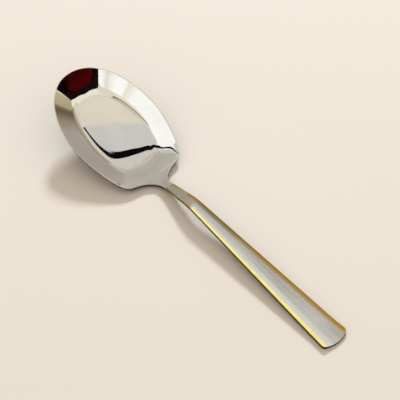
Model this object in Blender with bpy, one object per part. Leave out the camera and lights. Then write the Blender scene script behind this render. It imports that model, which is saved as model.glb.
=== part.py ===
"""Rice serving spoon of polished steel with gilt edges on its handle, lying on a table.

The bowl's tip points to -X and the handle runs to +X. The table is Z = 0: the spoon rests on
the heel of its bowl and on the end of its handle, so the bowl leans tip-up. Each mesh is drawn
from the tip along X, with the lowest point of the neck's edges at height zero, and an empty
carries the pieces to their place over the table.
"""
import math

import bmesh
import bpy
import numpy as np
from mathutils import Vector
from mathutils.geometry import interpolate_bezier

for old in list(bpy.data.objects):
    bpy.data.objects.remove(old, do_unlink=True)

# Lengths along the spoon, in metres.
TOTAL_LENGTH = 0.232
BOWL_LENGTH = 0.0803          # tip to where the shoulder corner ends and the heel edge starts
BOWL_WIDEST_AT = 0.0451       # from the tip
SHOULDER_LENGTH = 0.0037      # the rounded shoulder corner, along the spoon
NECK_LENGTH = 0.0124          # from there to the seam where the handle starts
VALLEY_FROM_HEEL = 0.0041     # from there to the lowest point of the neck
CREST_FROM_VALLEY = 0.0286    # lowest point of the neck to the bend of the handle
LAP_LENGTH = 0.010            # tongue of the neck under the handle

# Widths across the spoon.
BOWL_WIDTH = 0.0599
SHOULDER_WIDTH = 0.0431       # where the side turns into the shoulder corner
HEEL_WIDTH = 0.0335           # where the shoulder corner turns into the heel edge
NECK_WIDTH = 0.0059
HANDLE_END_WIDTH = 0.0176
GILT_WIDTH_AT_NECK = 0.0019
GILT_WIDTH_AT_END = 0.0031

# Curves of the bowl's outline: how far each stretch keeps its direction.
TIP_BLUNTNESS = 0.0190
SIDE_BEFORE_WIDEST = 0.0242
SIDE_AFTER_WIDEST = 0.0088
SIDE_BEFORE_SHOULDER = 0.008
SHOULDER_ROUNDING = 0.0020
HEEL_CURVE = 0.011
NECK_CURVE = 0.0064
SIDE_TAPER = math.radians(31.6)
HEEL_RAKE = math.radians(11.9)

# Depths, thicknesses and slopes.
BOWL_DEPTH = 0.0050           # rim to the foot of the sloping wall
BOWL_FILLET = 0.0009          # softness of the turn from wall to floor
FLOOR_SAG = 0.0009            # the floor sinks by this much from its edge
FLOOR_SAG_RUN = 0.010         # over this distance, and is flat from there
WALL_ANGLE = math.radians(26.5)
BOWL_TILT = math.radians(16.3)
NECK_RISE = math.radians(13.1)
VALLEY_BLEND = 0.004
CREST_BLEND = 0.009
BOWL_SHEET = 0.0012
RIM_EDGE = 0.0005             # upright edge of the bowl's flat-ground rim
HANDLE_CORE = 0.0013          # thickness of the handle in the middle of its hollow face
GILT_THICKNESS = 0.0004
REBATE_DRAFT = 0.0002         # lean of the inner wall of the gilt's rebate
NECK_CHANNEL = 0.0006         # hollow of the handle's face at the neck
END_CHANNEL = 0.0010          # and at its end
FOOT_LENGTH = 0.010           # of the handle's end, which lies level on the table
FOOT_BLEND = 0.006
END_BOW = 0.0024              # the handle's end bulges by this much
END_BOW_RUN = 0.012           # length over which the stations bend into that arc
END_CORNER = 0.0016           # radius of the end's corners
JOINT_GAP = 0.0003            # between neighbouring pieces, all round

# Metals: colour and roughness.
POLISHED_STEEL = ((0.78, 0.77, 0.74), 0.05)
SATIN_STEEL = ((0.62, 0.61, 0.59), 0.28)
GILT = ((0.86, 0.62, 0.22), 0.16)

# Fineness of the meshes.
CURVE_POINTS = 60
OUTLINE_STEP = 0.0015
TIP_STEPS = 16
RIM_SAMPLE = 0.0002
LEAST_GAP = 0.000001          # distances to the rim are counted as no less than this
CHANNEL_STEPS = 8
HANDLE_STEP = 0.0045
END_STEPS = 4
GILT_STEPS = 2
SHARP_EDGE = math.radians(40.0)

# Places and sizes that follow from the ones above.
SEAM_X = BOWL_LENGTH + NECK_LENGTH
VALLEY_X = BOWL_LENGTH + VALLEY_FROM_HEEL
CREST_X = VALLEY_X + CREST_FROM_VALLEY
FOOT_X = TOTAL_LENGTH - FOOT_LENGTH
# Grinding the rim flat leaves a land where the sheet's slanting wall was cut.
RIM_LAND = (BOWL_SHEET - RIM_EDGE * math.cos(WALL_ANGLE)) / math.sin(WALL_ANGLE)
WALL_WIDTH = RIM_LAND + BOWL_DEPTH / math.tan(WALL_ANGLE)
LAP_END = SEAM_X + LAP_LENGTH + JOINT_GAP
REBATE_DEPTH = GILT_THICKNESS + JOINT_GAP
# The handle and the tongue below it share what the rebate and the joint leave of the thickness.
TONGUE_THICKNESS = (NECK_CHANNEL + HANDLE_CORE - REBATE_DEPTH - JOINT_GAP) / 2


def ramp(x, blend):
    """Zero before the origin and x after it, with a rounded turn of half-length blend."""
    if x <= -blend:
        return 0.0
    if x >= blend:
        return x
    return (x + blend) ** 2 / (4 * blend)


def smooth_step(x):
    x = min(max(x, 0.0), 1.0)
    return x * x * (3 - 2 * x)


def half_outline():
    """Points (from the tip, across) of the rim's +Y side, from the tip to the seam."""
    taper = Vector((math.cos(SIDE_TAPER), -math.sin(SIDE_TAPER), 0))
    rake = Vector((math.sin(HEEL_RAKE), -math.cos(HEEL_RAKE), 0))
    along = Vector((1, 0, 0))
    tip = Vector((0, 0, 0))
    widest = Vector((BOWL_WIDEST_AT, BOWL_WIDTH / 2, 0))
    shoulder = Vector((BOWL_LENGTH - SHOULDER_LENGTH, SHOULDER_WIDTH / 2, 0))
    heel = Vector((BOWL_LENGTH, HEEL_WIDTH / 2, 0))
    seam = Vector((SEAM_X, NECK_WIDTH / 2, 0))
    stretches = [
        (tip, tip + Vector((0, TIP_BLUNTNESS, 0)), widest - SIDE_BEFORE_WIDEST * along, widest),
        (widest, widest + SIDE_AFTER_WIDEST * along,
         shoulder - SIDE_BEFORE_SHOULDER * taper, shoulder),
        (shoulder, shoulder + SHOULDER_ROUNDING * taper, heel - SHOULDER_ROUNDING * rake, heel),
        (heel, heel + HEEL_CURVE * rake, seam - NECK_CURVE * along, seam),
    ]
    points = [tip]
    for knots in stretches:
        points += interpolate_bezier(*knots, CURVE_POINTS)[1:]
    return np.array([p.to_2d() for p in points])


def resample(points, count):
    """The same line cut into count even steps."""
    steps = np.linalg.norm(np.diff(points, axis=0), axis=1)
    run = np.concatenate([[0.0], np.cumsum(steps)])
    places = np.linspace(0.0, run[-1], count + 1)
    return np.stack([np.interp(places, run, points[:, i]) for i in (0, 1)], axis=1)


def length_of(points):
    return float(np.linalg.norm(np.diff(points, axis=0), axis=1).sum())


RIM = half_outline()
RIM_FINE = resample(RIM, round(length_of(RIM) / RIM_SAMPLE))
RIM_STEP = length_of(RIM) / (len(RIM_FINE) - 1)


def rim_distance(x, y):
    """Distance from the rim, softened where two stretches of rim are equally near.

    Each bit of rim counts by the inverse sixth power of its distance. The sum beside a straight
    rim is 3 pi / 8 over the fifth power of the distance, so the result is exact there.
    """
    total = 0.0
    for side in (1, -1):
        gaps = np.hypot(RIM_FINE[:, 0] - x, side * RIM_FINE[:, 1] - y)
        total += (RIM_STEP / np.maximum(gaps, LEAST_GAP) ** 6).sum()
    return (8 * total / (3 * math.pi)) ** -0.2


def half_width(x):
    """Half the handle's width, without its rounded end corners."""
    share = (x - SEAM_X) / (TOTAL_LENGTH - SEAM_X)
    return (NECK_WIDTH + (HANDLE_END_WIDTH - NECK_WIDTH) * share) / 2


def hollow(x):
    """How far the middle of the handle's face lies below its edges."""
    share = (x - SEAM_X) / (TOTAL_LENGTH - SEAM_X)
    return NECK_CHANNEL + (END_CHANNEL - NECK_CHANNEL) * share


def rim_height(x):
    """Height of the rim and of the neck's edges over the lowest point of those edges."""
    lean, rise = math.tan(BOWL_TILT), math.tan(NECK_RISE)
    return lean * (VALLEY_X - x) + (lean + rise) * ramp(x - VALLEY_X, VALLEY_BLEND)


def edge_height(x, valley):
    """Height of the handle's edges: over a crest and down to the foot that lies on the table."""
    rise = math.tan(NECK_RISE)
    crest = valley + rise * CREST_FROM_VALLEY
    fall = (crest - END_CHANNEL - HANDLE_CORE) / (FOOT_X - CREST_X)
    bend = (rise + fall) * ramp(x - CREST_X, CREST_BLEND)
    return rim_height(x) - bend + fall * ramp(x - FOOT_X, FOOT_BLEND)


def rounded_floor(wall, floor):
    """Depth of a wall that turns into a flat floor through a rounded corner."""
    turn = max(BOWL_FILLET - abs(wall - floor), 0) / BOWL_FILLET
    return min(wall, floor) - turn * turn * BOWL_FILLET / 4


def sheet_depths(x, y):
    """How far the inside and the outside of the bowl and neck lie below the rim."""
    gap = rim_distance(x, y)
    drop = gap * math.tan(WALL_ANGLE)
    land = RIM_LAND * math.tan(WALL_ANGLE)
    run = min(max((gap - WALL_WIDTH) / FLOOR_SAG_RUN, 0), 1)
    floor = BOWL_DEPTH + FLOOR_SAG * run * (2 - run)
    inside = rounded_floor(max(drop - land, 0), floor)
    outside = rounded_floor(drop + RIM_EDGE, floor + BOWL_SHEET)
    neck = smooth_step((x - BOWL_LENGTH + NECK_LENGTH) / (2 * NECK_LENGTH))
    if neck > 0:
        edge = np.interp(x, RIM[:, 0], RIM[:, 1])
        face = NECK_CHANNEL * (1 - min((y / edge) ** 2, 1))
        inside += (face - inside) * neck
        outside += (NECK_CHANNEL + HANDLE_CORE - outside) * neck
    return inside, outside


def plan_grid():
    """Rows of plan points over the bowl and neck, from the rim round the tip to the seam."""
    steps = round(length_of(RIM) / OUTLINE_STEP)
    edge = resample(RIM, steps)
    mirror = edge * (1, -1)
    tip_row = np.concatenate([mirror[TIP_STEPS:0:-1], edge[:TIP_STEPS + 1]])
    across = np.linspace(0.0, 1.0, len(tip_row))[:, None]
    bulge = tip_row - (mirror[TIP_STEPS] * (1 - across) + edge[TIP_STEPS] * across)
    rows = []
    for i in range(TIP_STEPS, steps + 1):
        fade = (steps - i) / (steps - TIP_STEPS)
        rows.append(mirror[i] * (1 - across) + edge[i] * across + bulge * fade)
    return rows


def strip(bm, first, second):
    """Quads between two rows of vertices."""
    for i in range(len(first) - 1):
        bm.faces.new((first[i], first[i + 1], second[i + 1], second[i]))


def finish(bm, name, metal, parent):
    """Turn a closed bmesh into a named object of its own metal, carried by the parent."""
    bmesh.ops.recalc_face_normals(bm, faces=bm.faces)
    if bm.calc_volume(signed=True) < 0:
        bmesh.ops.reverse_faces(bm, faces=bm.faces)
    mesh = bpy.data.meshes.new(name)
    bm.to_mesh(mesh)
    bm.free()
    mesh.shade_smooth()
    mesh.set_sharp_from_angle(angle=SHARP_EDGE)
    colour, roughness = metal
    material = bpy.data.materials.new(name + "_metal")
    material.use_nodes = True
    shader = material.node_tree.nodes["Principled BSDF"]
    shader.inputs["Base Color"].default_value = (*colour, 1)
    shader.inputs["Metallic"].default_value = 1.0
    shader.inputs["Roughness"].default_value = roughness
    mesh.materials.append(material)
    piece = bpy.data.objects.new(name, mesh)
    piece.parent = parent
    bpy.context.scene.collection.objects.link(piece)


def make_shell(bm):
    """The bowl and neck, pressed from one sheet. Returns the rows of its inside and outside."""
    inside, outside = [], []
    for row in plan_grid():
        upper, lower = [], []
        for x, y in row:
            dish, back = sheet_depths(x, y)
            upper.append(bm.verts.new((x, y, rim_height(x) - dish)))
            lower.append(bm.verts.new((x, y, rim_height(x) - back)))
        inside.append(upper)
        outside.append(lower)
    for i in range(len(inside) - 1):
        strip(bm, inside[i + 1], inside[i])
        strip(bm, outside[i], outside[i + 1])
    strip(bm, outside[0], inside[0])
    for j in (0, -1):
        strip(bm, [row[j] for row in inside[:-1]], [row[j] for row in outside[:-1]])
    return inside, outside


def make_bowl(parent):
    """Bowl, neck and the tongue that goes under the handle. Returns the valley's height.

    The valley is the lowest point of the neck's edges, and its height is over the table, on
    which the bowl's lowest point lies.
    """
    bm = bmesh.new()
    inside, outside = make_shell(bm)
    valley = -min(v.co.z for v in bm.verts)
    upper = [bm.verts.new(v.co + Vector((0, 0, TONGUE_THICKNESS))) for v in outside[-1]]
    lower = outside[-1]
    strip(bm, inside[-1], upper)
    for j in (0, -1):
        bm.faces.new((inside[-2][j], inside[-1][j], upper[j], lower[j], outside[-2][j]))
    for x in stations(SEAM_X, SEAM_X + LAP_LENGTH)[1:]:
        places = [(x, v.co.y / lower[-1].co.y * half_width(x)) for v in lower]
        floor = [back_height(px, valley) for px, py in places]
        next_lower = [bm.verts.new((*p, z)) for p, z in zip(places, floor)]
        next_upper = [bm.verts.new((*p, z + TONGUE_THICKNESS)) for p, z in zip(places, floor)]
        strip(bm, upper, next_upper)
        strip(bm, next_lower, lower)
        for j in (0, -1):
            bm.faces.new((upper[j], next_upper[j], next_lower[j], lower[j]))
        upper, lower = next_upper, next_lower
    strip(bm, upper, lower)
    finish(bm, "bowl", POLISHED_STEEL, parent)
    return valley


def stations(start, end):
    """Places along the handle from start to end, about HANDLE_STEP apart."""
    count = max(round((end - start) / HANDLE_STEP), 2)
    return [start + (end - start) * i / count for i in range(count + 1)]


def face_height(x, y, valley):
    return edge_height(x, valley) - hollow(x) * (1 - (y / half_width(x)) ** 2)


def back_height(x, valley):
    """Height of the handle's flat back."""
    return edge_height(x, valley) - hollow(x) - HANDLE_CORE


def handle_sections():
    """(x, half width, inner edge of the gilt) at each station, with the end's round corners."""
    corner = TOTAL_LENGTH - END_CORNER
    places = [(x, 0.0) for x in stations(SEAM_X + JOINT_GAP, LAP_END)]
    places += [(x, 0.0) for x in stations(LAP_END + JOINT_GAP, corner)]
    for i in range(1, END_STEPS + 1):
        turn = math.pi / 2 * i / END_STEPS
        places.append((corner + END_CORNER * math.sin(turn), END_CORNER * (1 - math.cos(turn))))
    sections = []
    for x, cut in places:
        share = (x - SEAM_X) / (TOTAL_LENGTH - SEAM_X)
        gilt = GILT_WIDTH_AT_NECK + (GILT_WIDTH_AT_END - GILT_WIDTH_AT_NECK) * share
        width = half_width(x) - cut
        sections.append((x, width, min(half_width(x) - gilt, width - gilt / 2)))
    return sections


def bowed(x, y):
    """Where a point of the handle goes, because its end is an arc and not a straight cut."""
    share = smooth_step((x - TOTAL_LENGTH + END_BOW_RUN) / END_BOW_RUN)
    return x - END_BOW * share * (y / half_width(x)) ** 2


def loft(bm, tops, bottoms):
    """A closed bar from rows of upper and lower points."""
    tops = [[bm.verts.new(co) for co in row] for row in tops]
    bottoms = [[bm.verts.new(co) for co in row] for row in bottoms]
    for i in range(len(tops) - 1):
        strip(bm, tops[i], tops[i + 1])
        strip(bm, bottoms[i + 1], bottoms[i])
    for j in (0, -1):
        strip(bm, [row[j] for row in tops], [row[j] for row in bottoms])
    strip(bm, tops[0], bottoms[0])
    strip(bm, tops[-1], bottoms[-1])


def make_handle(valley, parent):
    """Bar with a hollow face, rebated along both edges for the gilt and below for the tongue."""
    tops, bottoms = [], []
    for x, width, inner in handle_sections():
        crown = inner - REBATE_DRAFT
        face = [crown * (2 * i / CHANNEL_STEPS - 1) for i in range(CHANNEL_STEPS + 1)]
        columns = [-width, -inner, *face, inner, width]
        lift = TONGUE_THICKNESS + JOINT_GAP if x <= LAP_END else 0.0
        top, bottom = [], []
        for y in columns:
            px = bowed(x, y)
            height = face_height(px, y, valley)
            sunk = 0.0 if abs(y) <= crown else REBATE_DEPTH
            top.append((px, y, height - sunk))
            bottom.append((px, y, back_height(px, valley) + lift))
        tops.append(top)
        bottoms.append(bottom)
    bm = bmesh.new()
    loft(bm, tops, bottoms)
    finish(bm, "handle", SATIN_STEEL, parent)


def make_gilt_edge(name, side, valley, parent):
    """Gilt strip let into one edge of the handle's face."""
    tops, bottoms = [], []
    for x, width, inner in handle_sections():
        start = inner + JOINT_GAP
        top, bottom = [], []
        for i in range(GILT_STEPS + 1):
            y = side * (start + (width - start) * i / GILT_STEPS)
            px = bowed(x, y)
            height = face_height(px, y, valley)
            top.append((px, y, height))
            bottom.append((px, y, height - GILT_THICKNESS))
        tops.append(top)
        bottoms.append(bottom)
    bm = bmesh.new()
    loft(bm, tops, bottoms)
    finish(bm, name, GILT, parent)


spoon = bpy.data.objects.new("spoon", None)
bpy.context.scene.collection.objects.link(spoon)
neck_valley = make_bowl(spoon)
make_handle(neck_valley, spoon)
make_gilt_edge("gilt_edge_left", -1, neck_valley, spoon)
make_gilt_edge("gilt_edge_right", 1, neck_valley, spoon)
spoon.location = (-TOTAL_LENGTH / 2, 0, neck_valley)
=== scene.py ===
import math

import bmesh
import bpy
import numpy as np
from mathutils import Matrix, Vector
from mathutils.geometry import interpolate_bezier


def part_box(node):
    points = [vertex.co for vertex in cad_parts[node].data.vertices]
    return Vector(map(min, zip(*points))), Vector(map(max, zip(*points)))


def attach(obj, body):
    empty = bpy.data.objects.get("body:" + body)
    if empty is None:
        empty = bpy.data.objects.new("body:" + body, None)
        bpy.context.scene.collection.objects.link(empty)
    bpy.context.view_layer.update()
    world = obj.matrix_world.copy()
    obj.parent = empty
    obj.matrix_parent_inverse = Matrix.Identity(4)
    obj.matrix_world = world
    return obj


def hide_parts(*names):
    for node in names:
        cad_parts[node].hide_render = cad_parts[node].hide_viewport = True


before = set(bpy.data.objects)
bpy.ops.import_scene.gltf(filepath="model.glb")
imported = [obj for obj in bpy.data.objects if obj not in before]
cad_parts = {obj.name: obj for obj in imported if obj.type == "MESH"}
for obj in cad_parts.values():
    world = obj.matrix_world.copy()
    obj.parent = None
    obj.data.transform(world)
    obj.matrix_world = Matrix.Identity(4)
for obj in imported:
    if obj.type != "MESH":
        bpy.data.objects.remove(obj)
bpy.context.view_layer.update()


# The bowl and neck.
# One stainless sheet, pressed into an oval dish with a nearly flat floor and sloping walls, drawn
# in at the heel to a thick neck and mirror-polished. Its tongue is brazed under the handle.
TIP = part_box("bowl")[0].x
TOTAL_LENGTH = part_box("handle")[1].x - TIP
TIP_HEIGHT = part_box("bowl")[1].z
BOWL_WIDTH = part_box("bowl")[1].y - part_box("bowl")[0].y
# Places along the spoon are in metres from the tip.
BOWL_LENGTH = 0.0803          # tip to where the shoulder corner ends and the heel edge starts
BOWL_WIDEST_AT = 0.0451
SHOULDER_LENGTH = 0.0037      # the rounded shoulder corner, along the spoon
NECK_LENGTH = 0.0124          # start of the heel edge to the seam where the handle starts
VALLEY_FROM_HEEL = 0.0041     # start of the heel edge to the lowest point of the neck
LAP_LENGTH = 0.010            # tongue of the neck under the handle
SHOULDER_WIDTH = 0.0431       # where the side turns into the shoulder corner
HEEL_WIDTH = 0.0335           # where the shoulder corner turns into the heel edge
NECK_WIDTH = 0.0059
TIP_BLUNTNESS = 0.0190        # this and the next six give the rim's curves their fullness
SIDE_BEFORE_WIDEST = 0.0242
SIDE_AFTER_WIDEST = 0.0088
SIDE_BEFORE_SHOULDER = 0.008
SHOULDER_ROUNDING = 0.0020
HEEL_CURVE = 0.011
NECK_CURVE = 0.0064
SIDE_TAPER = math.radians(31.6)
HEEL_RAKE = math.radians(11.9)
BOWL_DEPTH = 0.0050           # from the rim to the foot of the wall
BOWL_FILLET = 0.0009
WALL_WIDTH = 0.0117           # from the rim to where the floor's hollow starts
WALL_SLOPE = math.tan(math.radians(24.25))
FLOOR_SAG = 0.0010            # how much deeper the floor's middle lies than its edge
FLOOR_SAG_RUN = 0.014
FLOOR_BOW_AT = 0.041          # where the floor starts to rise very gently towards the heel
FLOOR_BOW_BLEND = 0.016
FLOOR_BOW = 0.03              # its rise for each unit of length
HEEL_BEND_AT = 0.057          # where it bends up a little more
HEEL_BEND_BLEND = 0.0035
HEEL_BEND = 0.045
BOWL_LEAN = math.tan(math.radians(16.3))
NECK_RISE = math.tan(math.radians(13.1))
VALLEY_BLEND = 0.004
SHEET = 0.0012
RIM_DROP = 0.0011             # height of the rim's outer edge
HEEL_DROP = 0.0007            # its height beside the heel, where the sheet is drawn thinner
THINNING_START = 0.050
THINNING_END = 0.068
RIM_LAND = 0.0003             # from the outer edge to where the inside wall starts
RIM_BLEND = 0.0003
EDGE_ROUNDING = 0.0003        # polished-off corners of the rim, the neck and the handle
NECK_CHANNEL = 0.0006         # hollow of the neck's face where the handle starts
HANDLE_CORE = 0.0013          # thickness of the metal under the middle of that hollow
TONGUE_THICKNESS = 0.00045
HAIRLINE = 0.00004            # width of a brazed or plated joint
SEAM = BOWL_LENGTH + NECK_LENGTH
VALLEY = BOWL_LENGTH + VALLEY_FROM_HEEL
CURVE_POINTS = 80
RIM_SAMPLE = 0.0002
GRID_STEP = 0.0007
TIP_STEPS = 48
LIP_STEPS = [0.00045, 0.0006, 0.0008, 0.00105]    # rings of points inside the rounded corner
LIP_WIDTH = 0.0013
EDGE_TURNS = 4
CORNER_GAPS = [EDGE_ROUNDING * (1 - math.cos(math.pi / 2 * i / EDGE_TURNS))
               for i in range(EDGE_TURNS + 1)]
SHARP_EDGE = math.radians(35.0)


def ramp(x, blend):
    """Zero before the origin and x after it, with a rounded turn of half-length blend."""
    turning = (np.maximum(x, -blend) + blend) ** 2 / (4 * blend)
    return np.where(x >= blend, x, turning)


def smooth_step(x):
    """Zero up to 0, one from 1 on, and an even S-shaped rise between them."""
    x = np.clip(x, 0.0, 1.0)
    return x * x * (3 - 2 * x)


def half_outline():
    """Plan points of the rim's +Y side, from the tip to the seam at the neck."""
    taper = Vector((math.cos(SIDE_TAPER), -math.sin(SIDE_TAPER), 0))
    rake = Vector((math.sin(HEEL_RAKE), -math.cos(HEEL_RAKE), 0))
    along = Vector((1, 0, 0))
    tip = Vector((0, 0, 0))
    widest = Vector((BOWL_WIDEST_AT, BOWL_WIDTH / 2, 0))
    shoulder = Vector((BOWL_LENGTH - SHOULDER_LENGTH, SHOULDER_WIDTH / 2, 0))
    heel = Vector((BOWL_LENGTH, HEEL_WIDTH / 2, 0))
    seam = Vector((SEAM, NECK_WIDTH / 2, 0))
    stretches = [
        (tip, tip + Vector((0, TIP_BLUNTNESS, 0)), widest - SIDE_BEFORE_WIDEST * along, widest),
        (widest, widest + SIDE_AFTER_WIDEST * along,
         shoulder - SIDE_BEFORE_SHOULDER * taper, shoulder),
        (shoulder, shoulder + SHOULDER_ROUNDING * taper, heel - SHOULDER_ROUNDING * rake, heel),
        (heel, heel + HEEL_CURVE * rake, seam - NECK_CURVE * along, seam),
    ]
    points = [tip]
    for knots in stretches:
        points += interpolate_bezier(*knots, CURVE_POINTS)[1:]
    return np.array([p.to_2d() for p in points])


def resample(points, step):
    """The same line cut into even steps of about the given length."""
    lengths = np.linalg.norm(np.diff(points, axis=0), axis=1)
    run = np.concatenate([[0.0], np.cumsum(lengths)])
    places = np.linspace(0.0, run[-1], round(run[-1] / step) + 1)
    return np.stack([np.interp(places, run, points[:, i]) for i in (0, 1)], axis=1)


RIM = half_outline()
RIM_FINE = resample(RIM, RIM_SAMPLE)


def rim_distance(plan):
    """Distance from the rim, softened where two stretches of rim are equally near.

    Along a straight rim at distance d, one over the distance to the sixth power adds up to
    3 pi / 8 over d to the fifth. The rest turns such a sum back into a distance.
    """
    step = np.linalg.norm(RIM_FINE[1] - RIM_FINE[0])
    loop = np.concatenate([RIM_FINE, RIM_FINE * (1, -1)])
    squares = ((plan[:, None, :] - loop[None, :, :]) ** 2).sum(axis=2)
    total = (step / squares ** 3).sum(axis=1)
    return (8 * total / (3 * math.pi)) ** (-1 / 5)


def rim_height(x):
    """Height of the rim and of the neck's edges over the lowest point of those edges."""
    return BOWL_LEAN * (VALLEY - x) + (BOWL_LEAN + NECK_RISE) * ramp(x - VALLEY, VALLEY_BLEND)


VALLEY_HEIGHT = TIP_HEIGHT - float(rim_height(0.0))


def rounded_floor(wall, floor):
    """Depth of a wall that turns into a flat floor through a rounded corner."""
    turn = np.maximum(BOWL_FILLET - np.abs(wall - floor), 0) / BOWL_FILLET
    return np.minimum(wall, floor) - turn * turn * BOWL_FILLET / 4


def worn_corner(gap):
    """How far a polished-off corner falls back at this distance from its edge."""
    inset = np.clip(EDGE_ROUNDING - gap, 0, EDGE_ROUNDING)
    return EDGE_ROUNDING - np.sqrt(EDGE_ROUNDING ** 2 - inset ** 2)


def sheet_points(plan, gap):
    """Points of the sheet's inside and outside over plan points at this gap from the rim."""
    x, y = plan[:, 0], plan[:, 1]
    run = np.clip((gap - WALL_WIDTH) / FLOOR_SAG_RUN, 0, 1)
    floor = BOWL_DEPTH + FLOOR_SAG * run * (2 - run)
    inside = rounded_floor(WALL_SLOPE * ramp(gap - RIM_LAND, RIM_BLEND), floor)
    thinning = smooth_step((x - THINNING_START) / (THINNING_END - THINNING_START))
    drop = RIM_DROP + (HEEL_DROP - RIM_DROP) * thinning
    outside = rounded_floor(WALL_SLOPE * gap + drop, floor + SHEET)
    neck = smooth_step((x - BOWL_LENGTH + NECK_LENGTH) / (2 * NECK_LENGTH))
    rise = (HEEL_BEND * ramp(x - HEEL_BEND_AT, HEEL_BEND_BLEND)
            + FLOOR_BOW * ramp(x - FLOOR_BOW_AT, FLOOR_BOW_BLEND))
    edge = np.maximum(np.interp(x, RIM[:, 0], RIM[:, 1]), RIM_SAMPLE)
    face = NECK_CHANNEL * (1 - np.minimum((y / edge) ** 2, 1))
    inside = inside * (1 - rise / (BOWL_DEPTH + FLOOR_SAG))
    inside = inside + (face - inside) * neck + worn_corner(gap)
    outside = outside + (NECK_CHANNEL + HANDLE_CORE - outside) * neck - worn_corner(gap)
    level = VALLEY_HEIGHT + rim_height(x)
    place = x + TIP
    return (np.stack([place, y, level - inside], axis=1),
            np.stack([place, y, level - outside], axis=1))


def bowl_plan():
    """Rings of plan points beside the rim, then rows of plan points over the dish and neck."""
    edge = resample(RIM, GRID_STEP)
    loop = np.concatenate([edge[:0:-1] * (1, -1), edge])
    along = np.gradient(loop, axis=0)
    along /= np.linalg.norm(along, axis=1)[:, None]
    inward = np.stack([along[:, 1], -along[:, 0]], axis=1)
    inward[0], inward[-1] = (0, 1), (0, -1)    # straight across at the seam
    rings = [(loop + inward * gap, gap) for gap in CORNER_GAPS + LIP_STEPS]
    border = loop + inward * LIP_WIDTH
    middle = len(edge) - 1
    left, right = border[middle::-1], border[middle:]
    tip_row = border[middle - TIP_STEPS:middle + TIP_STEPS + 1]
    across = np.linspace(0.0, 1.0, len(tip_row))[:, None]
    bulge = tip_row - (tip_row[0] * (1 - across) + tip_row[-1] * across)
    rows = []
    for i in range(TIP_STEPS, middle + 1):
        fade = (middle - i) / (middle - TIP_STEPS)
        rows.append(left[i] * (1 - across) + right[i] * across + bulge * fade)
    return rings, rows


def strip(bm, first, second):
    """Quads between two rows of vertices."""
    for i in range(len(first) - 1):
        bm.faces.new((first[i], first[i + 1], second[i + 1], second[i]))


def sheet_side(bm, rings, rows):
    """Faces of one side of the sheet. Returns its edge ring and its row at the seam."""
    rings = [[bm.verts.new(p) for p in ring] for ring in rings]
    rows = [[bm.verts.new(p) for p in row] for row in rows]
    border = [row[0] for row in rows[:0:-1]] + rows[0] + [row[-1] for row in rows[1:]]
    rings.append(border)
    for outer, inner in zip(rings, rings[1:]):
        strip(bm, outer, inner)
    for upper, lower in zip(rows, rows[1:]):
        strip(bm, upper, lower)
    seam = [ring[0] for ring in rings[:-1]] + rows[-1] + [ring[-1] for ring in rings[-2::-1]]
    return rings[0], seam


def piece_from(bm, name, material):
    """A closed bmesh as a named, smooth-shaded piece of the spoon."""
    bmesh.ops.recalc_face_normals(bm, faces=bm.faces)
    mesh = bpy.data.meshes.new(name)
    bm.to_mesh(mesh)
    bm.free()
    mesh.shade_smooth()
    mesh.set_sharp_from_angle(angle=SHARP_EDGE)
    mesh.materials.append(material)
    piece = bpy.data.objects.new(name, mesh)
    bpy.context.scene.collection.objects.link(piece)
    return piece


def make_bowl(material):
    """The sheet's two sides, the rim's edge between them, and the tongue beyond the seam."""
    rings, rows = bowl_plan()
    bm = bmesh.new()
    ring_points = [sheet_points(plan, np.full(len(plan), gap)) for plan, gap in rings]
    row_points = [sheet_points(plan, rim_distance(plan)) for plan in rows]
    inner_edge, inner_seam = sheet_side(bm, [p[0] for p in ring_points], [p[0] for p in row_points])
    outer_edge, outer_seam = sheet_side(bm, [p[1] for p in ring_points], [p[1] for p in row_points])
    strip(bm, inner_edge[1:-1], outer_edge[1:-1])
    tongue_top = [bm.verts.new(v.co + Vector((0, 0, TONGUE_THICKNESS))) for v in outer_seam]
    strip(bm, inner_seam, tongue_top)
    bm.faces.new((inner_edge[1], inner_edge[0], tongue_top[0], outer_edge[0], outer_edge[1]))
    bm.faces.new((inner_edge[-2], inner_edge[-1], tongue_top[-1], outer_edge[-1], outer_edge[-2]))
    reach = Vector((LAP_LENGTH, 0, 0))
    slope = Vector((0, 0, NECK_RISE * LAP_LENGTH))
    top_end = [bm.verts.new(v.co + reach + slope) for v in tongue_top]
    low_end = [bm.verts.new(v.co + reach + slope) for v in outer_seam]
    strip(bm, tongue_top, top_end)
    strip(bm, low_end, outer_seam)
    strip(bm, top_end, low_end)
    for j in (0, -1):
        bm.faces.new((tongue_top[j], top_end[j], low_end[j], outer_seam[j]))
    return piece_from(bm, "mirror_bowl", material)


def group_tree(name, inputs, outputs):
    """An empty shader node group with float or vector inputs and float or colour outputs."""
    tree = bpy.data.node_groups.new(name, "ShaderNodeTree")
    for label, kind, value in inputs:
        socket = tree.interface.new_socket(label, in_out="INPUT", socket_type=kind)
        if value is not None:
            socket.default_value = value
    for label, kind in outputs:
        tree.interface.new_socket(label, in_out="OUTPUT", socket_type=kind)
    start = tree.nodes.new("NodeGroupInput")
    end = tree.nodes.new("NodeGroupOutput")
    return tree, start, end


def add_node(tree, kind, settings=(), values=()):
    """A new node with its own settings and the values of its unlinked inputs."""
    node = tree.nodes.new(kind)
    for key, value in settings:
        setattr(node, key, value)
    for key, value in values:
        node.inputs[key].default_value = value
    return node


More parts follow.
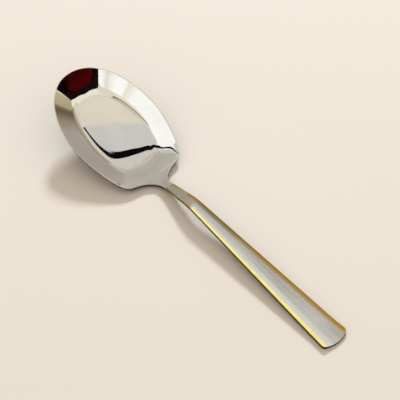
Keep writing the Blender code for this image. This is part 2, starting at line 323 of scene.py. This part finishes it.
def handling_marks():
    """Cloudy smudges and short fine scratches, as a polished table piece gets in use."""
    tree, start, end = group_tree(
        "handling_marks",
        [("Place", "NodeSocketVector", None), ("Low Roughness", "NodeSocketFloat", 0.03),
         ("High Roughness", "NodeSocketFloat", 0.08), ("Cloud Scale", "NodeSocketFloat", 60.0)],
        [("Roughness", "NodeSocketFloat"), ("Smudge", "NodeSocketFloat")])
    cloud = add_node(tree, "ShaderNodeTexNoise", values=[("Detail", 5.0), ("Roughness", 0.6)])
    tree.links.new(start.outputs["Place"], cloud.inputs["Vector"])
    tree.links.new(start.outputs["Cloud Scale"], cloud.inputs["Scale"])
    smudge = add_node(tree, "ShaderNodeMapRange", [("clamp", True)],
                      [("From Min", 0.42), ("From Max", 0.68)])
    tree.links.new(cloud.outputs["Fac"], smudge.inputs["Value"])
    stretch = add_node(tree, "ShaderNodeMapping", values=[("Rotation", (0, 0, math.radians(25))),
                                                          ("Scale", (120.0, 1500.0, 120.0))])
    tree.links.new(start.outputs["Place"], stretch.inputs["Vector"])
    hair = add_node(tree, "ShaderNodeTexNoise", values=[("Scale", 1.0), ("Detail", 2.0)])
    tree.links.new(stretch.outputs["Vector"], hair.inputs["Vector"])
    scratch = add_node(tree, "ShaderNodeMapRange", [("clamp", True)],
                       [("From Min", 0.62), ("From Max", 0.74)])
    tree.links.new(hair.outputs["Fac"], scratch.inputs["Value"])
    amount = add_node(tree, "ShaderNodeMath", [("operation", "MAXIMUM")])
    tree.links.new(smudge.outputs["Result"], amount.inputs[0])
    tree.links.new(scratch.outputs["Result"], amount.inputs[1])
    rough = add_node(tree, "ShaderNodeMapRange")
    tree.links.new(amount.outputs["Value"], rough.inputs["Value"])
    tree.links.new(start.outputs["Low Roughness"], rough.inputs["To Min"])
    tree.links.new(start.outputs["High Roughness"], rough.inputs["To Max"])
    tree.links.new(rough.outputs["Result"], end.inputs["Roughness"])
    tree.links.new(smudge.outputs["Result"], end.inputs["Smudge"])
    return tree


MARKS = handling_marks()
SIDE_STARTS = 0.80            # upward share of the surface's direction where the shade starts
SIDE_FULL = 0.45              # and where it is full


def painted_side_shade():
    """Mask of painted shade on all that doesn't face up: sides, rounded-off corners and undersides.
    """
    tree, start, end = group_tree("painted_side_shade", [], [("Side", "NodeSocketFloat")])
    surface = tree.nodes.new("ShaderNodeNewGeometry")
    upright = tree.nodes.new("ShaderNodeSeparateXYZ")
    tree.links.new(surface.outputs["Normal"], upright.inputs["Vector"])
    side = add_node(tree, "ShaderNodeMapRange", [("clamp", True)],
                    [("From Min", SIDE_STARTS), ("From Max", SIDE_FULL)])
    tree.links.new(upright.outputs["Z"], side.inputs["Value"])
    tree.links.new(side.outputs["Result"], end.inputs["Side"])
    return tree


PAINTED_SHADE_GROUP = painted_side_shade()


def metal_material(name):
    """A new metal with its tree, its shader and the place on the spoon that its nodes read."""
    material = bpy.data.materials.new(name)
    material.use_nodes = True
    tree = material.node_tree
    shader = tree.nodes["Principled BSDF"]
    shader.inputs["Metallic"].default_value = 1.0
    place = tree.nodes.new("ShaderNodeTexCoord").outputs["Object"]
    return material, tree, shader, place


def mixed_colour(tree, mask, low, high):
    """Colour output that goes from low to high with a mask."""
    mix = add_node(tree, "ShaderNodeMix", [("data_type", "RGBA")],
                   [("A", (*low, 1)), ("B", (*high, 1))])
    tree.links.new(mask, mix.inputs["Factor"])
    return mix.outputs["Result"]


def placed_marks(tree, place, low, high, scale):
    """The handling marks at a place, between two roughnesses and with clouds of some scale."""
    marks = add_node(tree, "ShaderNodeGroup", [("node_tree", MARKS)],
                     [("Low Roughness", low), ("High Roughness", high), ("Cloud Scale", scale)])
    tree.links.new(place, marks.inputs["Place"])
    return marks


def with_painted_shade(tree, colour, dark):
    """Colour output with painted shade where the piece doesn't face up."""
    shade = add_node(tree, "ShaderNodeGroup", [("node_tree", PAINTED_SHADE_GROUP)])
    mix = add_node(tree, "ShaderNodeMix", [("data_type", "RGBA")], [("B", (*dark, 1))])
    tree.links.new(shade.outputs["Side"], mix.inputs["Factor"])
    tree.links.new(colour, mix.inputs["A"])
    return mix.outputs["Result"]


# Painted shade on all that doesn't face up, then the clean and the smudged steel.
PAINTED_SHADE_STEEL = (0.07, 0.065, 0.06)
CLEAR_STEEL = (0.80, 0.79, 0.77)
SMUDGED_STEEL = (0.74, 0.73, 0.71)


def polished_steel():
    """Mirror finish with faint smudges and hair scratches, and painted shade on edges and
    underside.
    """
    material, tree, shader, place = metal_material("mirror_polished_steel")
    marks = placed_marks(tree, place, low=0.008, high=0.03, scale=70.0)
    tree.links.new(marks.outputs["Roughness"], shader.inputs["Roughness"])
    colour = mixed_colour(tree, marks.outputs["Smudge"], CLEAR_STEEL, SMUDGED_STEEL)
    tree.links.new(with_painted_shade(tree, colour, PAINTED_SHADE_STEEL), shader.inputs["Base Color"])
    return material


bowl = make_bowl(polished_steel())
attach(bowl, "root")
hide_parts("bowl")


# The handle.
# A flat stainless bar with a shallow hollow face, bent over a crest near the neck and widening
# to a bowed end. Its face is brushed along its length to a fine satin finish.
CREST_FROM_VALLEY = 0.0286    # from the lowest point of the neck to the bend of the handle
CREST_BLEND = 0.006
END_WIDTH = 0.0176
END_CHANNEL = 0.0010
FOOT_LENGTH = 0.010           # of the end, which lies level on the table
FOOT_BLEND = 0.006
BORDER_STEEPNESS = 3.0        # power with which the hollow face rises to its edges
END_BOW = 0.0024              # the end bulges by this much
END_BOW_RUN = 0.012
END_CORNER = 0.0016
GILT_AT_NECK = 0.0019         # width of the gilt border, which is let into the face
GILT_AT_END = 0.0031
GILT_THICKNESS = 0.0004
CREST = VALLEY + CREST_FROM_VALLEY
FOOT = TOTAL_LENGTH - FOOT_LENGTH
HANDLE_STEP = 0.0015
FACE_STEPS = 24
BACK_STEPS = 12
CORNER_STEPS = 8


def share_of_handle(x):
    """Zero at the seam and one at the handle's end."""
    return (x - SEAM) / (TOTAL_LENGTH - SEAM)


def half_width(x):
    """Half the handle's width, without its rounded end corners."""
    return (NECK_WIDTH + (END_WIDTH - NECK_WIDTH) * share_of_handle(x)) / 2


def gilt_start(x, cut):
    """Distance from the middle to the gilt border, which keeps half its width at a cut corner."""
    width = GILT_AT_NECK + (GILT_AT_END - GILT_AT_NECK) * share_of_handle(x)
    return half_width(x) - max(width, cut + width / 2)


def edge_height(x):
    """Height of the handle's edges: over a crest and down to the foot that lies on the table."""
    crest = VALLEY_HEIGHT + NECK_RISE * (CREST - VALLEY)
    fall = (crest - END_CHANNEL - HANDLE_CORE) / (FOOT - CREST)
    bend = (NECK_RISE + fall) * ramp(x - CREST, CREST_BLEND)
    return float(VALLEY_HEIGHT + rim_height(x) - bend + fall * ramp(x - FOOT, FOOT_BLEND))


def hollow(x):
    """How far the middle of the handle's face lies below its edges."""
    return NECK_CHANNEL + (END_CHANNEL - NECK_CHANNEL) * share_of_handle(x)


def bowed(x, y):
    """Where a point of the handle goes, because its end is an arc and not a straight cut."""
    bend = float(smooth_step((x - TOTAL_LENGTH + END_BOW_RUN) / END_BOW_RUN))
    return x - END_BOW * bend * (y / half_width(x)) ** 2


def face_point(x, y, drop):
    """Point a drop below the handle's hollow face."""
    x = bowed(x, y)
    face = edge_height(x) - hollow(x) * (1 - abs(y / half_width(x)) ** BORDER_STEEPNESS)
    return (x + TIP, y, face - drop)


def back_point(x, y, lift):
    """Point a lift above the handle's flat back."""
    x = bowed(x, y)
    return (x + TIP, y, edge_height(x) - hollow(x) - HANDLE_CORE + lift)


def handle_stations():
    """Places along the handle, with how far the end's round corners cut into each side there."""
    corner = TOTAL_LENGTH - END_CORNER
    count = round((corner - SEAM) / HANDLE_STEP)
    places = [(SEAM + HAIRLINE + (corner - SEAM - HAIRLINE) * i / count, 0.0)
              for i in range(count + 1)]
    for i in range(1, CORNER_STEPS + 1):
        turn = math.pi / 2 * i / CORNER_STEPS
        places.append((corner + END_CORNER * math.sin(turn), END_CORNER * (1 - math.cos(turn))))
    return places


def loft(bm, loops):
    """A closed bar through loops of points, with a face over each end."""
    loops = [[bm.verts.new(p) for p in loop] for loop in loops]
    for first, second in zip(loops, loops[1:]):
        strip(bm, first + first[:1], second + second[:1])
    bm.faces.new(loops[0])
    bm.faces.new(loops[-1])


def spread(start, end, steps):
    """Even places from start to end."""
    return [start + (end - start) * i / steps for i in range(steps + 1)]


def make_handle(material):
    """A bar through cross sections with a rebate for the gilt at each edge of the face."""
    loops = []
    lap_end = SEAM + LAP_LENGTH + HAIRLINE
    for x, cut in handle_stations():
        width = half_width(x) - cut
        inner = gilt_start(x, cut)
        end_drop = float(worn_corner(TOTAL_LENGTH - x))
        rebate = GILT_THICKNESS + HAIRLINE
        lift = TONGUE_THICKNESS + HAIRLINE if x <= lap_end else 0.0
        loop = [face_point(x, -width, rebate), face_point(x, -inner, rebate)]
        loop += [face_point(x, y, end_drop) for y in spread(-inner, inner, FACE_STEPS)]
        loop += [face_point(x, inner, rebate), face_point(x, width, rebate)]
        back = [(width - gap, float(worn_corner(gap))) for gap in CORNER_GAPS]
        back += [(y, 0.0) for y in spread(width, -width, BACK_STEPS)[1:-1]]
        back += [(-y, rise) for y, rise in back[EDGE_TURNS::-1]]
        loop += [back_point(x, y, lift + max(rise, end_drop)) for y, rise in back]
        loops.append(loop)
    bm = bmesh.new()
    loft(bm, loops)
    return piece_from(bm, "satin_handle", material)


def brushed_lines():
    """Fine lines along the spoon's length, as a belt leaves them."""
    tree, start, end = group_tree(
        "brushed_lines",
        [("Place", "NodeSocketVector", None), ("Lines Across", "NodeSocketFloat", 3000.0),
         ("Lines Along", "NodeSocketFloat", 30.0)],
        [("Lines", "NodeSocketFloat")])
    size = add_node(tree, "ShaderNodeCombineXYZ")
    tree.links.new(start.outputs["Lines Along"], size.inputs["X"])
    tree.links.new(start.outputs["Lines Across"], size.inputs["Y"])
    tree.links.new(start.outputs["Lines Across"], size.inputs["Z"])
    stretch = add_node(tree, "ShaderNodeVectorMath", [("operation", "MULTIPLY")])
    tree.links.new(start.outputs["Place"], stretch.inputs[0])
    tree.links.new(size.outputs["Vector"], stretch.inputs[1])
    lines = add_node(tree, "ShaderNodeTexNoise",
                     values=[("Scale", 1.0), ("Detail", 4.0), ("Roughness", 0.65)])
    tree.links.new(stretch.outputs["Vector"], lines.inputs["Vector"])
    tree.links.new(lines.outputs["Fac"], end.inputs["Lines"])
    return tree


BRUSHED = brushed_lines()
SATIN_LIGHT = (0.68, 0.67, 0.64)
SATIN_DARK = (0.61, 0.60, 0.57)


def satin_steel():
    """Fine satin with brushed lines in its colour, gloss and relief, painted shade on edges and
    back.
    """
    material, tree, shader, place = metal_material("satin_brushed_steel")
    lines = add_node(tree, "ShaderNodeGroup", [("node_tree", BRUSHED)])
    tree.links.new(place, lines.inputs["Place"])
    colour = mixed_colour(tree, lines.outputs["Lines"], SATIN_DARK, SATIN_LIGHT)
    tree.links.new(with_painted_shade(tree, colour, PAINTED_SHADE_STEEL), shader.inputs["Base Color"])
    rough = add_node(tree, "ShaderNodeMapRange", values=[("To Min", 0.13), ("To Max", 0.24)])
    tree.links.new(lines.outputs["Lines"], rough.inputs["Value"])
    tree.links.new(rough.outputs["Result"], shader.inputs["Roughness"])
    bump = add_node(tree, "ShaderNodeBump", values=[("Strength", 0.08), ("Distance", 0.00002)])
    tree.links.new(lines.outputs["Lines"], bump.inputs["Height"])
    tree.links.new(bump.outputs["Normal"], shader.inputs["Normal"])
    return material


handle = make_handle(satin_steel())
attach(handle, "root")
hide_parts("handle")


# The gilt edges.
# Two gold-coloured borders along the handle's face, polished and flush with the satin steel.
# Each is a plated strip in a shallow rebate, from the neck to the rounded corner of the end. The
# gold carries a painted shade towards the neck, and fades into steel on the strip's inner half.
GILT_STEPS = 6
FADED_SHARE = 0.5
BRIGHT_GILT = (0.90, 0.78, 0.25)
WORN_GILT = (0.82, 0.66, 0.18)
# These two are painted shade: on the gold towards the neck, and on its edges and sides.
PAINTED_SHADE_NECK_GILT = (0.46, 0.36, 0.12)
PAINTED_SHADE_GILT = (0.12, 0.07, 0.02)


def make_gilt_edge(name, side, material):
    """A strip in the rebate at one side, with each point's share of its width as an attribute."""
    loops, across = [], []
    for x, cut in handle_stations():
        width = half_width(x) - cut
        inner = gilt_start(x, cut) + HAIRLINE
        end_drop = float(worn_corner(TOTAL_LENGTH - x))
        top = [(y, 0.0) for y in spread(inner, width - EDGE_ROUNDING, GILT_STEPS)]
        top += [(width - gap, float(worn_corner(gap))) for gap in CORNER_GAPS[-2::-1]]
        loop = [face_point(x, side * y, max(fall, end_drop)) for y, fall in top]
        loop += [face_point(x, side * y, GILT_THICKNESS) for y in (width, inner)]
        loops.append(loop)
        across += [(y - inner) / (width - inner) for y, fall in top] + [1.0, 0.0]
    bm = bmesh.new()
    loft(bm, loops)
    edge = piece_from(bm, name, material)
    edge.data.attributes.new("across", "FLOAT", "POINT").data.foreach_set("value", across)
    return edge


def polished_gilt():
    """Worn gold colour with painted shade near the neck and on its edges, fading inwards."""
    material, tree, shader, place = metal_material("polished_gilt")
    marks = placed_marks(tree, place, low=0.10, high=0.18, scale=160.0)
    tree.links.new(marks.outputs["Roughness"], shader.inputs["Roughness"])
    colour = mixed_colour(tree, marks.outputs["Smudge"], BRIGHT_GILT, WORN_GILT)
    along = tree.nodes.new("ShaderNodeSeparateXYZ")
    tree.links.new(place, along.inputs["Vector"])
    near_neck = add_node(tree, "ShaderNodeMapRange", [("interpolation_type", "SMOOTHSTEP")],
                         [("From Min", CREST + TIP), ("From Max", SEAM + TIP)])
    tree.links.new(along.outputs["X"], near_neck.inputs["Value"])
    neck_shade = add_node(tree, "ShaderNodeMix", [("data_type", "RGBA")], [("B", (*PAINTED_SHADE_NECK_GILT, 1))])
    tree.links.new(near_neck.outputs["Result"], neck_shade.inputs["Factor"])
    tree.links.new(colour, neck_shade.inputs["A"])
    inward = add_node(tree, "ShaderNodeAttribute", [("attribute_name", "across")])
    cover = add_node(tree, "ShaderNodeMapRange", [("interpolation_type", "SMOOTHSTEP")],
                     [("From Min", 0.0), ("From Max", FADED_SHARE)])
    tree.links.new(inward.outputs["Fac"], cover.inputs["Value"])
    faded = add_node(tree, "ShaderNodeMix", [("data_type", "RGBA")], [("A", (*SATIN_LIGHT, 1))])
    tree.links.new(cover.outputs["Result"], faded.inputs["Factor"])
    tree.links.new(neck_shade.outputs["Result"], faded.inputs["B"])
    colour = faded.outputs["Result"]
    tree.links.new(with_painted_shade(tree, colour, PAINTED_SHADE_GILT), shader.inputs["Base Color"])
    return material


gilt_metal = polished_gilt()
for node, side in (("gilt_edge_left", -1), ("gilt_edge_right", 1)):
    gilt_edge = make_gilt_edge("polished_" + node, side, gilt_metal)
    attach(gilt_edge, "root")
    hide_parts(node)


# The studio floor.
# A plain pale cream table top, wide enough to fill every view.
FLOOR_REACH = 3.0
FLOOR_COLOUR = (0.80, 0.73, 0.65)


def plane(name, corners, material):
    """One flat face of the stage."""
    mesh = bpy.data.meshes.new(name)
    mesh.from_pydata([tuple(c) for c in corners], [], [tuple(range(len(corners)))])
    mesh.materials.append(material)
    obj = bpy.data.objects.new(name, mesh)
    bpy.context.scene.collection.objects.link(obj)


floor_material = bpy.data.materials.new("pale_table_top")
floor_material.use_nodes = True
floor_shader = floor_material.node_tree.nodes["Principled BSDF"]
floor_shader.inputs["Base Color"].default_value = (*FLOOR_COLOUR, 1)
floor_shader.inputs["Roughness"].default_value = 0.7
floor_shader.inputs["Specular IOR Level"].default_value = 0.2
plane("table_top", [(-FLOOR_REACH, -FLOOR_REACH, 0), (FLOOR_REACH, -FLOOR_REACH, 0),
                    (FLOOR_REACH, FLOOR_REACH, 0), (-FLOOR_REACH, FLOOR_REACH, 0)], floor_material)


# The studio light.
# A soft lamp stands low beyond the bowl on its right, under an even pale sky, and both light the
# table. Cards around the spoon, which only mirror-like surfaces see, give the metal something
# to reflect.
BOWL_CENTRE = Vector((-0.075, 0.0, 0.015))
CARD_DISTANCE = 1.2
CREAM = (0.89, 0.83, 0.68)
WHITE = (1.20, 1.20, 1.17)
PALE_GREY = (0.735, 0.725, 0.69)
BLACK = (0.004, 0.004, 0.004)


def card_light():
    """Glow of the cards, in the colour that each row of a card's points carries."""
    material = bpy.data.materials.new("card_light")
    material.use_nodes = True
    tree = material.node_tree
    tree.nodes.remove(tree.nodes["Principled BSDF"])
    glow = add_node(tree, "ShaderNodeAttribute", [("attribute_name", "glow")])
    lit = tree.nodes.new("ShaderNodeEmission")
    tree.links.new(glow.outputs["Color"], lit.inputs["Color"])
    tree.links.new(lit.outputs["Emission"], tree.nodes["Material Output"].inputs["Surface"])
    return material


CARD_LIGHT = card_light()


def card(name, rows):
    """A sheet through rows of points, each row with its colour, that only reflections show."""
    bm = bmesh.new()
    lines = [[bm.verts.new(p) for p in points] for points, colour in rows]
    for first, second in zip(lines, lines[1:]):
        strip(bm, first, second)
    mesh = bpy.data.meshes.new(name)
    bm.to_mesh(mesh)
    bm.free()
    glow = [value for points, colour in rows for p in points for value in (*colour, 1.0)]
    mesh.attributes.new("glow", "FLOAT_COLOR", "POINT").data.foreach_set("color", glow)
    mesh.materials.append(CARD_LIGHT)
    obj = bpy.data.objects.new(name, mesh)
    obj.visible_camera = obj.visible_diffuse = obj.visible_shadow = False
    bpy.context.scene.collection.objects.link(obj)


def around(places, nearer=0.0):
    """Points of a card seen from the bowl, at degrees from straight up towards +X and +Y.

    A card that is nearer, in metres, hides those behind it.
    """
    points = []
    for x, y in places:
        slant = math.radians(math.hypot(x, y))
        side = Vector((x, y, 0)).normalized() * math.sin(slant)
        ray = side + Vector((0, 0, math.cos(slant)))
        points.append(BOWL_CENTRE + ray * (CARD_DISTANCE - nearer))
    return points


def curve_through(places, steps=5):
    """A smooth line through given places, with more points between them."""
    size = len(places[0])
    knots = [Vector(place).to_3d() for place in places]
    knots = knots[:1] + knots + knots[-1:]
    line = [places[0]]
    for before, start, end, after in zip(knots, knots[1:], knots[2:], knots[3:]):
        bent = interpolate_bezier(start, start + (end - before) / 6, end - (after - start) / 6,
                                  end, steps + 1)
        line += [tuple(point)[:size] for point in bent[1:]]
    return line


def moved(places, x_step, y_step=0.0):
    """The same line, some degrees to the side."""
    return [(x + x_step, y + y_step) for x, y in places]


def lowered(places, factor):
    """The same line further down from straight up."""
    return [(factor * x, factor * y) for x, y in places]


def beside(line, side, step):
    """A line of places with a size each, moved sideways by a step in those sizes."""
    return [Vector((x, y)) + side * step * size for x, y, size in line]


# White card to the spoon's left, which the far wall of the bowl mirrors.
white_edge = curve_through([(22.5, -3), (15, -9.5), (5, -14.5), (-5, -14), (-8.5, -8),
                            (-10.5, 0), (-12.5, 1.5), (-14.5, 0), (-20, -7), (-30, -15)])
card("white_side_card", [(around(lowered(white_edge, 2)), WHITE), (around(white_edge), WHITE)])

# Its edge over the spoon: a dark line with an olive shade beside it, which lies along the foot
# of that wall and tapers at both ends.
foot_line = curve_through([(0.5, 17.5, 0.0), (2, 12, 0.4), (4.6, 5, 0.8), (3.8, 2, 1.0),
                           (1.9, -0.8, 1.0), (-1.8, -4, 1.0), (-6.6, -8.9, 0.5), (-9, -11, 0.0)])
floor_side = Vector((-0.25, 0.97))
edge_steps = [(-9, WHITE), (-6, (0.90, 0.88, 0.74)), (-1.6, (0.80, 0.77, 0.60)),
              (-0.8, (0.20, 0.17, 0.11)), (0.5, (0.20, 0.17, 0.11)), (1.6, (0.62, 0.55, 0.34)),
              (9, CREAM)]
card("white_card_edge", [(around(beside(foot_line, floor_side, step), 0.01), colour)
                         for step, colour in edge_steps])

# Two yellowish folds across the white card.
fold_steps = [((20, -7), WHITE), ((17.5, -9.5), (0.93, 0.92, 0.81)),
              ((15, -11.5), (1.10, 1.10, 1.02)), ((12.5, -13.5), WHITE), ((8.4, -15.4), WHITE),
              ((6.9, -16.1), (1.02, 0.97, 0.78)), ((5.6, -16.4), (1.10, 1.08, 0.96)),
              ((3.5, -16.9), WHITE)]
card("white_card_folds", [(around(lowered([place], 0.9) + lowered([place], 1.3), 0.02), colour)
                          for place, colour in fold_steps])

# Dark card low on the left, under the white one, for edges that face that side.
side_sweep = [(30, -40), (18, -46), (4, -50), (-10, -48), (-24, -43), (-36, -34)]
card("dark_side_card", [(around(side_sweep, 0.02), (0.05, 0.045, 0.04)),
                        (around(lowered(side_sweep, 1.7), 0.02), (0.03, 0.025, 0.02))])

# Dark card beyond the handle's end, which the tip of the bowl mirrors, with a red sheen on it
# and a bright card beside it.
dark_edge = curve_through([(22, -4.5), (17, 3), (13, 12), (10.5, 22), (12, 33), (15, 41),
                           (14, 46.5)])
dark_far = curve_through([(23.5, -5.5), (27, 3.5), (29.2, 13), (29.5, 22), (27.3, 31),
                          (22, 39.5), (17, 46.5)])
dark_steps = [(0.0, (0.006, 0.003, 0.003)), (0.1, (0.010, 0.004, 0.004)),
              (0.70, (0.013, 0.005, 0.005)), (0.84, (0.004, 0.002, 0.002)),
              (4.0, (0.004, 0.002, 0.003))]
card("dark_end_card", [(around([Vector(near).lerp(Vector(far), step)
                                for near, far in zip(dark_edge, dark_far)], 0.02), colour)
                       for step, colour in dark_steps])
sheen_line = curve_through([(25, 0, 0.1), (26.4, 4, 0.7), (27.7, 14, 1.0), (26.6, 26, 1.0),
                            (22.5, 37.5, 0.1)])
sheen_side = Vector((1, 0))
sheen_steps = [(-2.2, (0.010, 0.003, 0.003)), (-1.1, (0.045, 0.002, 0.003)),
               (0.2, (0.080, 0.002, 0.003)), (1.4, (0.030, 0.002, 0.002)),
               (2.2, (0.008, 0.002, 0.002))]
card("red_sheen", [(around(beside(sheen_line, sheen_side, step), 0.08), colour)
                   for step, colour in sheen_steps])
bright_start = [(1.5, 45), (1.5, 36), (1, 28), (1.5, 20), (3, 12), (6, 6)]
bright_middle = [(5, 46), (5, 36), (5, 28), (5, 20), (7, 13), (10, 8)]
bright_end = [(15, 47), (14, 36), (12, 28), (12, 20), (14, 12), (17, 6)]
card("bright_end_card", [(around(bright_start, 0.005), CREAM),
                         (around(bright_middle, 0.005), (1.06, 1.01, 0.84)),
                         (around(bright_end, 0.005), (1.06, 1.01, 0.84))])

# Grey card over the heel half of the bowl's floor, with a black bar along its side.
bar_left = curve_through([(-4.5, 36), (-5.5, 32.9), (-7, 32), (-8.4, 31.6), (-10.2, 30.2),
                          (-11.3, 25.7), (-11.8, 21.8), (-12.1, 17.2), (-14.4, 8.5),
                          (-18.8, -0.5), (-25, -6), (-34, -10)])
bar_right = curve_through([(-4.6, 31.8), (-5.35, 31.25), (-6.65, 30.65), (-7.55, 29.5),
                           (-7.05, 26.6), (-7.8, 23.8), (-10.2, 20.6), (-11.5, 15), (-13.6, 6.7),
                           (-17.6, -3.6), (-24, -9), (-32, -13)])
grey_end = curve_through([(-4.5, 31.5), (-4.8, 28.5), (-5.27, 24.4), (-5.4, 22.8),
                          (-5.05, 21.1), (-4.65, 17.5), (-4.75, 10.4), (-6, -4)])
grey_steps = [(-9, PALE_GREY), (-0.16, PALE_GREY), (0.2, CREAM)]
card("grey_card", [(around(moved(grey_end, step), 0.005), colour) for step, colour in grey_steps])
card("black_bar", [(around(bar_left, 0.03), BLACK), (around(bar_right, 0.03), BLACK)])

# Beige card beyond the bar, with two fine lines on it, which the floor mirrors beside the heel.
beige_steps = [(0.0, (0.78, 0.72, 0.64)), (10.0, (0.72, 0.68, 0.58)), (20.0, (0.62, 0.59, 0.49)),
               (50.0, (0.58, 0.55, 0.46))]
card("beige_card", [(around(moved(bar_left, -step), 0.006), colour)
                    for step, colour in beige_steps])
fine_lines = [[(-20.4, 33.5), (-14.6, 26.4), (-13.4, 23.1), (-13.4, 20.2), (-15.5, 14.2)],
              [(-23, 24.2), (-25, 21), (-27.5, 18), (-29, 14), (-29, 9.3)]]
for line in fine_lines:
    card("fine_line", [(around(line, 0.045), (0.52, 0.47, 0.38)),
                       (around(moved(line, -0.7, 0.3), 0.045), (0.60, 0.55, 0.46))])

# Low card to the spoon's right, which the near wall mirrors: a bright band at its top, a tan
# one under it, and grey from there down.
low_sweep = (-24, -20, -14, -10, -4, 2, 6)
low_steps = [(33, (0.74, 0.69, 0.58)), (37, (0.92, 0.87, 0.75)), (41, (0.62, 0.55, 0.44)),
             (44, (0.42, 0.34, 0.25)), (47, (0.40, 0.32, 0.23)), (51, (0.56, 0.51, 0.43)),
             (57, (0.49, 0.45, 0.38)), (60, (0.46, 0.42, 0.36)), (85, (0.46, 0.42, 0.36))]
card("low_card", [(around([(x, y) for x in low_sweep], 0.02), colour) for y, colour in low_steps])

# Two cards at the far end of the low one. The heel and neck mirror the upper, and the end of the
# near wall the lower.
heel_steps = [(-16, (0.68, 0.64, 0.55)), (-21, (0.57, 0.54, 0.46)), (-32, (0.55, 0.53, 0.45)),
              (-44, (0.50, 0.48, 0.41)), (-70, (0.40, 0.38, 0.34))]
card("heel_card", [(around([(x, y) for y in (8, 22, 34, 46)], 0.04), colour)
                   for x, colour in heel_steps])
low_heel_steps = [(39, (0.56, 0.54, 0.46)), (54, (0.46, 0.42, 0.36)), (85, (0.46, 0.42, 0.36))]
card("low_heel_card", [(around([(x, y) for x in (-70, -45, -30, -21)], 0.05), colour)
                       for y, colour in low_heel_steps])

# Olive card with a brown edge at the near end of the low one, which the near wall mirrors beside
# the tip.
olive_steps = [(-8, (0.46, 0.41, 0.34)), (-3, (0.36, 0.29, 0.21)), (1.5, (0.17, 0.12, 0.07)),
               (4, (0.22, 0.17, 0.10)), (6, (0.52, 0.45, 0.28)), (15, (0.60, 0.53, 0.34))]
card("olive_card", [(around([(x, 48 - 0.1 * x), (x, 85)], 0.03), colour)
                    for x, colour in olive_steps])

# Strips close to the handle, in metres: a bright one for its left gilt edge, a dark one over it
# for its right one, and a grey one over the crest.
card("bright_strip", [([(-0.05, 0.035, 0.080), (0.10, 0.040, 0.080)], (0.95, 0.95, 0.93)),
                      ([(-0.05, 0.090, 0.045), (0.10, 0.095, 0.045)], WHITE)])
strip_line = [(-0.042, 0.032), (-0.015, 0.042), (0.030, 0.055), (0.110, 0.055)]
strip_lean = 0.02
strip_steps = [(-0.016, (0.06, 0.05, 0.045)), (-0.004, (0.14, 0.12, 0.11)),
               (0.004, (0.42, 0.28, 0.20)), (0.012, (0.55, 0.38, 0.28))]
card("dark_strip", [([(x, y + strip_lean * x, z) for x, z in strip_line], colour)
                    for y, colour in strip_steps])
card("crest_strip", [([(-0.016, 0.003, 0.038), (0.020, 0.003, 0.038)], (0.22, 0.21, 0.19)),
                     ([(-0.016, 0.011, 0.038), (0.020, 0.011, 0.038)], (0.40, 0.38, 0.34))])

SKY_LEVEL = 0.68
SKY_COLOUR = (1.0, 0.92, 0.81)


def studio_sky():
    """Even light on the table, and a cream ceiling in reflections."""
    world = bpy.data.worlds.new("studio_sky")
    world.use_nodes = True
    tree = world.node_tree
    even = tree.nodes["Background"]
    even.inputs["Color"].default_value = (*SKY_COLOUR, 1)
    even.inputs["Strength"].default_value = SKY_LEVEL
    ceiling = add_node(tree, "ShaderNodeBackground", values=[("Color", (*CREAM, 1))])
    seen = tree.nodes.new("ShaderNodeLightPath")
    mix = tree.nodes.new("ShaderNodeMixShader")
    tree.links.new(seen.outputs["Is Glossy Ray"], mix.inputs["Fac"])
    tree.links.new(even.outputs["Background"], mix.inputs[1])
    tree.links.new(ceiling.outputs["Background"], mix.inputs[2])
    tree.links.new(mix.outputs["Shader"], tree.nodes["World Output"].inputs["Surface"])
    return world


bpy.context.scene.world = studio_sky()
LAMP_AZIMUTH = 136
LAMP_ELEVATION = 28
LAMP_DISTANCE = 3.0
LAMP_WATTS = 91.0
LAMP_WIDTH = 0.45
LAMP_COLOUR = (0.80, 0.90, 1.0)


def direction(azimuth, elevation):
    """Unit vector at an azimuth from +X towards +Y and an elevation over the table, in degrees."""
    a, e = math.radians(azimuth), math.radians(elevation)
    return Vector((math.cos(a) * math.cos(e), math.sin(a) * math.cos(e), math.sin(e)))


lamp_light = bpy.data.lights.new("soft_lamp", "AREA")
lamp_light.shape = "DISK"
lamp_light.size = LAMP_WIDTH
lamp_light.energy = LAMP_WATTS
lamp_light.color = LAMP_COLOUR
lamp = bpy.data.objects.new("soft_lamp", lamp_light)
lamp.location = direction(LAMP_AZIMUTH, LAMP_ELEVATION) * LAMP_DISTANCE
lamp.rotation_euler = (-lamp.location).to_track_quat("-Z", "Y").to_euler()
lamp.visible_glossy = False
bpy.context.scene.collection.objects.link(lamp)


# The camera.
# It looks down on the spoon from beside the handle's end, as the photograph does.
CAMERA_AZIMUTH = -40.9774
CAMERA_ELEVATION = 51.0043
CAMERA_DISTANCE = 0.697990
CAMERA_TARGET = Vector((-0.005937, 0.008857, 0.0))
camera_data = bpy.data.cameras.new("camera")
camera_data.sensor_width = 36.0
camera_data.lens = 108.0
camera = bpy.data.objects.new("camera", camera_data)
backward = direction(CAMERA_AZIMUTH, CAMERA_ELEVATION)
camera.location = CAMERA_TARGET + backward * CAMERA_DISTANCE
camera.rotation_euler = (-backward).to_track_quat("-Z", "Y").to_euler()
bpy.context.scene.collection.objects.link(camera)
bpy.context.scene.camera = camera
bpy.context.scene.view_settings.view_transform = "Standard"
